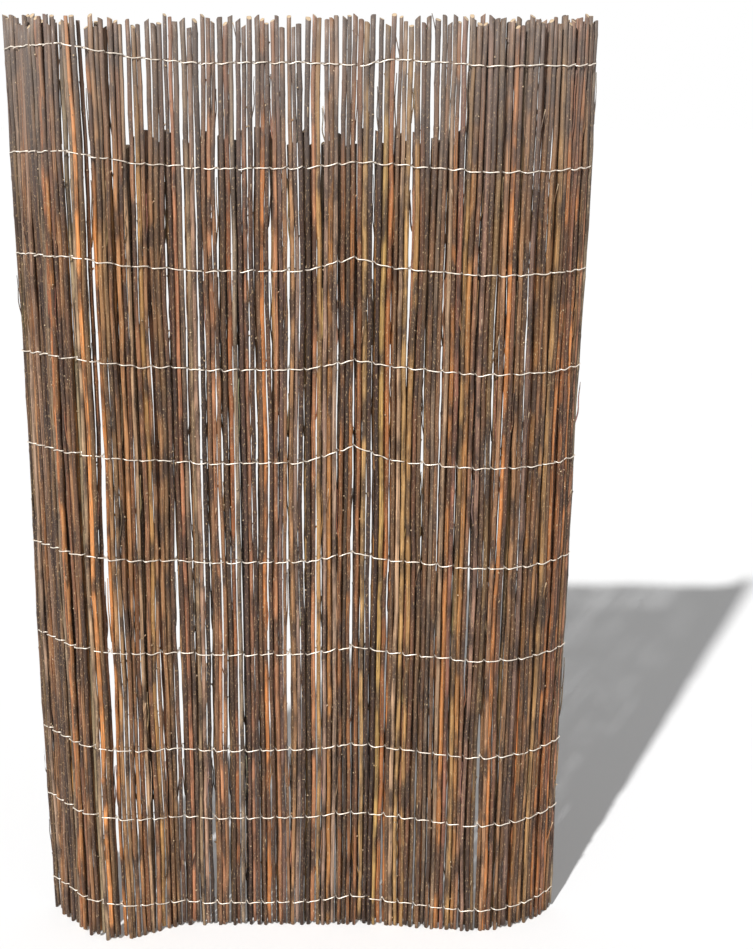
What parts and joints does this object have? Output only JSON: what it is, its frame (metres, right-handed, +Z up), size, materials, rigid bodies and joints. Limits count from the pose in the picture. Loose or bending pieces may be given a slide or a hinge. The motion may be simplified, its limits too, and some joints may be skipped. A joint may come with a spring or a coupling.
{
  "type": "willow fence",
  "caption": "Willow screen fence: upright willow rods tied in bundles by rows of twisted galvanised wire, standing on edge in shallow folds.",
  "frame": {"origin": "middle of the mat's plan, on the ground that the longest rods stand on", "axes": "+Z up along the rods, +X along the mat to the viewer's right, -Y to the front"},
  "size_m": [0.5838, 0.0787, 1],
  "materials": {
    "willow_brown": "dried unpeeled willow bark, brown, faintly glossy",
    "willow_orange": "dried unpeeled willow bark, orange brown, faintly glossy",
    "willow_grey": "dried unpeeled willow bark, weathered grey brown, matte",
    "galvanised_wire": "thin galvanised wire, dull silver"
  },
  "bodies": {
    "root": {"back_wire_01": "galvanised_wire", "back_wire_02": "galvanised_wire", "back_wire_03": "galvanised_wire", "back_wire_04": "galvanised_wire", "back_wire_05": "galvanised_wire", "back_wire_06": "galvanised_wire", "back_wire_07": "galvanised_wire", "back_wire_08": "galvanised_wire", "back_wire_09": "galvanised_wire", "back_wire_10": "galvanised_wire", "front_wire_01": "galvanised_wire", "front_wire_02": "galvanised_wire", "front_wire_03": "galvanised_wire", "front_wire_04": "galvanised_wire", "front_wire_05": "galvanised_wire", "front_wire_06": "galvanised_wire", "front_wire_07": "galvanised_wire", "front_wire_08": "galvanised_wire", "front_wire_09": "galvanised_wire", "front_wire_10": "galvanised_wire", "willow_bundle_01": "willow_orange", "willow_bundle_02": "willow_brown", "willow_bundle_03": "willow_grey", "willow_bundle_04": "willow_orange", "willow_bundle_05": "willow_brown", "willow_bundle_06": "willow_orange", "willow_bundle_07": "willow_brown", "willow_bundle_08": "willow_grey", "willow_bundle_09": "willow_orange", "willow_bundle_10": "willow_brown", "willow_bundle_11": "willow_orange", "willow_bundle_12": "willow_brown", "willow_bundle_13": "willow_grey", "willow_bundle_14": "willow_orange", "willow_bundle_15": "willow_brown", "willow_bundle_16": "willow_orange", "willow_bundle_17": "willow_brown", "willow_bundle_18": "willow_grey", "willow_bundle_19": "willow_orange", "willow_bundle_20": "willow_brown", "willow_bundle_21": "willow_orange", "willow_bundle_22": "willow_brown", "willow_bundle_23": "willow_grey", "willow_bundle_24": "willow_orange", "willow_bundle_25": "willow_brown", "willow_bundle_26": "willow_orange", "willow_bundle_27": "willow_brown", "willow_bundle_28": "willow_grey", "willow_bundle_29": "willow_orange", "willow_bundle_30": "willow_brown", "willow_bundle_31": "willow_orange", "willow_bundle_32": "willow_brown", "willow_bundle_33": "willow_grey", "willow_bundle_34": "willow_orange", "willow_bundle_35": "willow_brown"}
  },
  "joints": []
}
